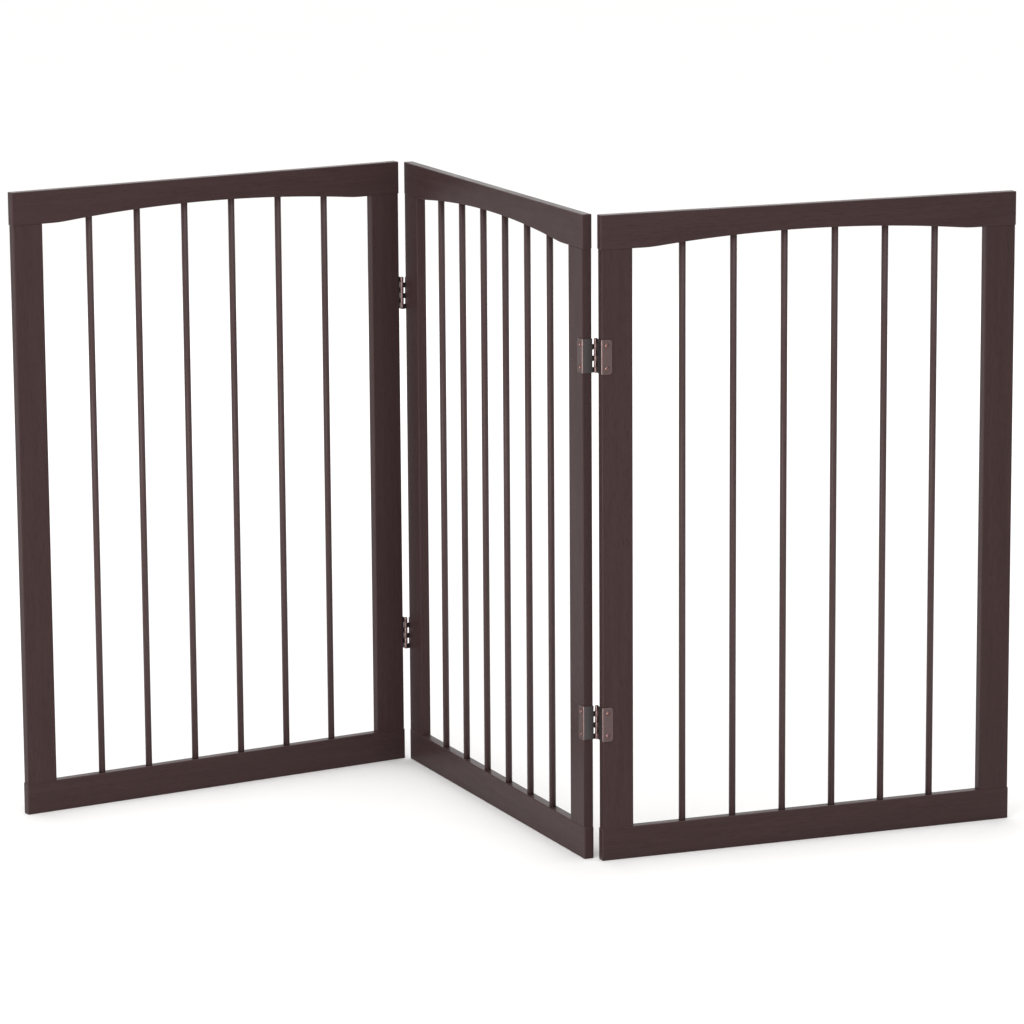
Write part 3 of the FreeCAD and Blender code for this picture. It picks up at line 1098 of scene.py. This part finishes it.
def lamp_object(name, kind, place, target, strength):
    """A lamp that faces a point and stays out of the picture itself."""
    lamp = bpy.data.lights.new(name, kind)
    lamp.energy = strength
    light = bpy.data.objects.new(name, lamp)
    light.location = place
    light.rotation_euler = (Vector(target) - Vector(place)).to_track_quat("-Z", "Y").to_euler()
    light.visible_camera = False
    bpy.context.scene.collection.objects.link(light)
    return lamp


class GATE_OT_stage(bpy.types.Operator):
    """Make the pale floor, the soft studio light and the camera"""

    bl_idname = "gate.stage"
    bl_label = "Stage"

    def execute(self, context):
        scene = context.scene
        stage = scene.gate_stage
        shape = bmesh.new()
        bmesh.ops.create_grid(shape, x_segments=1, y_segments=1, size=stage.floor_size / 2)
        mesh = bpy.data.meshes.new("floor")
        shape.to_mesh(mesh)
        shape.free()
        mesh.materials.append(studio_floor(stage))
        mesh_object("floor", mesh)

        world = bpy.data.worlds.new("studio")
        world.use_nodes = True
        sky = world.node_tree.nodes["Background"]
        sky.inputs["Color"].default_value = (1, 1, 1, 1)
        sky.inputs["Strength"].default_value = stage.sky
        scene.world = world
        key = lamp_object("key_light", "AREA", *KEY_AIM, stage.key)
        key.size = KEY_SIZE
        back = lamp_object("back_light", "AREA", *BACK_AIM, stage.back)
        back.shape = "RECTANGLE"
        back.size, back.size_y = BACK_WIDTH, BACK_HEIGHT
        overhead = lamp_object("overhead_light", "SUN", *OVERHEAD_AIM, stage.overhead)
        overhead.angle = OVERHEAD_SPREAD

        camera = bpy.data.cameras.new("camera")
        camera.lens = stage.lens
        camera.sensor_width = 36
        camera.clip_end = 200
        eye = bpy.data.objects.new("camera", camera)
        down = Matrix.Rotation(math.pi / 2 - stage.camera_pitch, 4, "X")
        lean = Matrix.Rotation(-stage.camera_roll, 4, "Z")
        eye.matrix_world = Matrix.Translation(stage.camera_place) @ down @ lean
        scene.collection.objects.link(eye)
        scene.camera = eye
        scene.view_settings.view_transform = "Standard"
        return {"FINISHED"}


class GATE_PT_pet_gate(bpy.types.Panel):
    """The gate's sizes, colours and pieces"""

    bl_label = "Pet Gate"
    bl_idname = "GATE_PT_pet_gate"
    bl_space_type = "VIEW_3D"
    bl_region_type = "UI"
    bl_category = "Pet Gate"

    def draw(self, context):
        for group in (context.scene.gate_boards, context.scene.gate_hinges,
                      context.scene.gate_stage):
            box = self.layout.box()
            box.label(text=group.bl_rna.description)
            for name in group.__annotations__:
                box.prop(group, name)
        for operator in OPERATORS:
            self.layout.operator(operator.bl_idname)


SETTINGS = {
    "gate_boards": GateBoardSettings,
    "gate_hinges": GateHingeSettings,
    "gate_stage": GateStageSettings,
}
OPERATORS = (
    GATE_OT_rails, GATE_OT_stiles, GATE_OT_bars, GATE_OT_dowels,
    GATE_OT_hinge_leaves, GATE_OT_hinge_pins, GATE_OT_screws, GATE_OT_stage,
)


def register():
    for group in (*SETTINGS.values(), *OPERATORS, GATE_PT_pet_gate):
        bpy.utils.register_class(group)
    for name, group in SETTINGS.items():
        setattr(bpy.types.Scene, name, PointerProperty(type=group))


def unregister():
    for name in SETTINGS:
        delattr(bpy.types.Scene, name)
    for group in (GATE_PT_pet_gate, *reversed(OPERATORS), *SETTINGS.values()):
        bpy.utils.unregister_class(group)


def main():
    register()
    bpy.ops.gate.rails()
    bpy.ops.gate.stiles()
    bpy.ops.gate.bars()
    bpy.ops.gate.dowels()
    bpy.ops.gate.hinge_leaves()
    bpy.ops.gate.hinge_pins()
    bpy.ops.gate.screws()
    bpy.ops.gate.stage()


if __name__ == "__main__":
    main()
